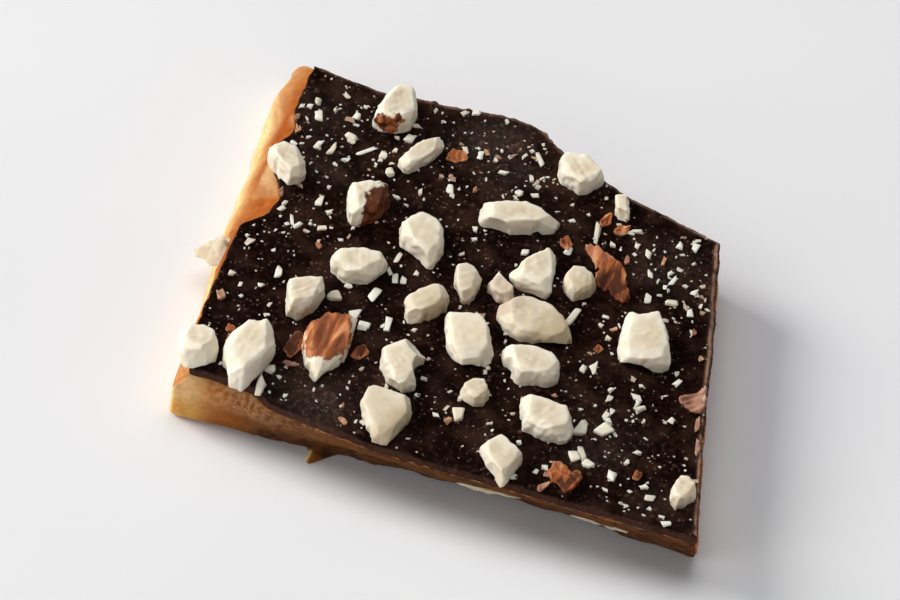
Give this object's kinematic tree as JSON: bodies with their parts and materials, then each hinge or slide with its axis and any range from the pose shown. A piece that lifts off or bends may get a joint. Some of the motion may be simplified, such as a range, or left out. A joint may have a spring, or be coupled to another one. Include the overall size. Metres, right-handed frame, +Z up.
{
  "type": "english toffee piece",
  "caption": "Broken square of butter toffee with a thin dark chocolate layer on top, chopped almonds set in the chocolate and almond slivers in its broken sides.",
  "frame": {"origin": "the middle of the box round the piece, on the flat underside", "axes": "+X along the longest broken side, +Y away from the front side, +Z up, with the chocolate on top"},
  "size_m": [0.054, 0.0476, 0.0097],
  "materials": {
    "toffee": "satin",
    "chocolate": "satin",
    "almond": "matte",
    "almond_skin": "matte"
  },
  "bodies": {
    "root": {"toffee": "toffee", "chocolate": "chocolate", "sliver_1": "almond", "sliver_2": "almond", "sliver_3": "almond", "sliver_4": "almond", "sliver_5": "almond", "sliver_6": "almond", "sliver_7": "almond", "sliver_8": "almond", "almond_01": "almond", "almond_02": "almond", "almond_03": "almond", "almond_04": "almond_skin", "almond_05": "almond", "almond_06": "almond", "almond_07": "almond", "almond_08": "almond", "almond_09": "almond", "almond_10": "almond_skin", "almond_11": "almond", "almond_12": "almond", "almond_13": "almond", "almond_14": "almond", "almond_15": "almond", "almond_16": "almond", "almond_17": "almond", "almond_18": "almond", "almond_19": "almond", "almond_20": "almond", "almond_21": "almond", "almond_22": "almond_skin", "almond_23": "almond", "almond_24": "almond", "almond_25": "almond", "almond_26": "almond", "almond_27": "almond", "almond_28": "almond_skin", "almond_29": "almond", "almond_30": "almond_skin", "almond_31": "almond"}
  },
  "joints": []
}
